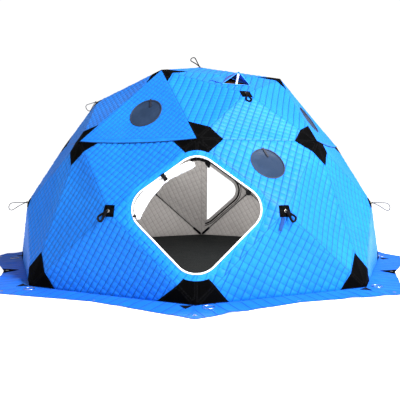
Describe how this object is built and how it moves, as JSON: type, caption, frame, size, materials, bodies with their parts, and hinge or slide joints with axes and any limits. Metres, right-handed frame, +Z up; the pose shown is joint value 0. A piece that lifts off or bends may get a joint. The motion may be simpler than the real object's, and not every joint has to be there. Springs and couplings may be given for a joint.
{
  "type": "pop-up hub-frame ice fishing shelter",
  "caption": "Eight-sided pop-up fabric shelter for ice fishing: hub-pushed quilted walls and roof on bowed poles, diamond doorways, round windows, vent hood and ground skirt.",
  "frame": {"origin": "centre of the ground plan, on the ground", "axes": "+Z up; -Y towards the front doorway; +X to the right seen from the front"},
  "size_m": [4.78, 4.78, 2.3091],
  "materials": {
    "shell": "quilted bright blue woven shell, grey lining inside",
    "patch": "heavy black woven reinforcement",
    "hub_patch": "coated dark woven square",
    "bracket": "black moulded nylon hub",
    "bolt": "plated steel",
    "pole": "black glass-fibre rod",
    "webbing": "black woven webbing",
    "piping": "white binding along the door's zip",
    "rolled_flap": "white lined flap, rolled up",
    "window_film": "smoke-tinted clear film",
    "rim": "black binding",
    "hood": "royal blue woven cloth",
    "strut": "white stiffener",
    "skirt": "bright blue coated cloth",
    "eyelet": "plated eyelet",
    "ring": "plated wire ring",
    "floor": "charcoal coated sheet"
  },
  "bodies": {
    "root": {"wall_front_right": "shell", "wall_right_front": "shell", "wall_right_back": "shell", "wall_back_right": "shell", "wall_back_left": "shell", "wall_left_back": "shell", "wall_left_front": "shell", "wall_front_left": "shell", "roof_front": "shell", "roof_right": "shell", "roof_back": "shell", "roof_left": "shell", "roof_corner_front": "shell", "roof_corner_right": "shell", "roof_corner_back": "shell", "roof_corner_left": "shell", "roof_crown": "shell", "ground_patches": "patch", "eave_patches": "patch", "crown_patches": "patch", "hub_patches": "hub_patch", "hub_brackets": "bracket", "hub_bolts": "bolt", "wall_poles": "pole", "roof_poles": "pole", "pole_pockets": "webbing", "pull_loops": "webbing", "front_door_piping": "piping", "back_door_piping": "piping", "front_door_roll": "rolled_flap", "door_straps": "webbing", "back_door_closed": "shell", "back_door_folded": "shell", "wall_windows": "window_film", "wall_window_rims": "rim", "roof_windows": "window_film", "roof_window_rims": "rim", "vent_hood": "hood", "vent_strut": "strut", "skirt": "skirt", "skirt_patches": "patch", "eyelets": "eyelet", "ground_tabs": "webbing", "peg_rings": "ring", "floor_sheet": "floor"}
  },
  "joints": []
}
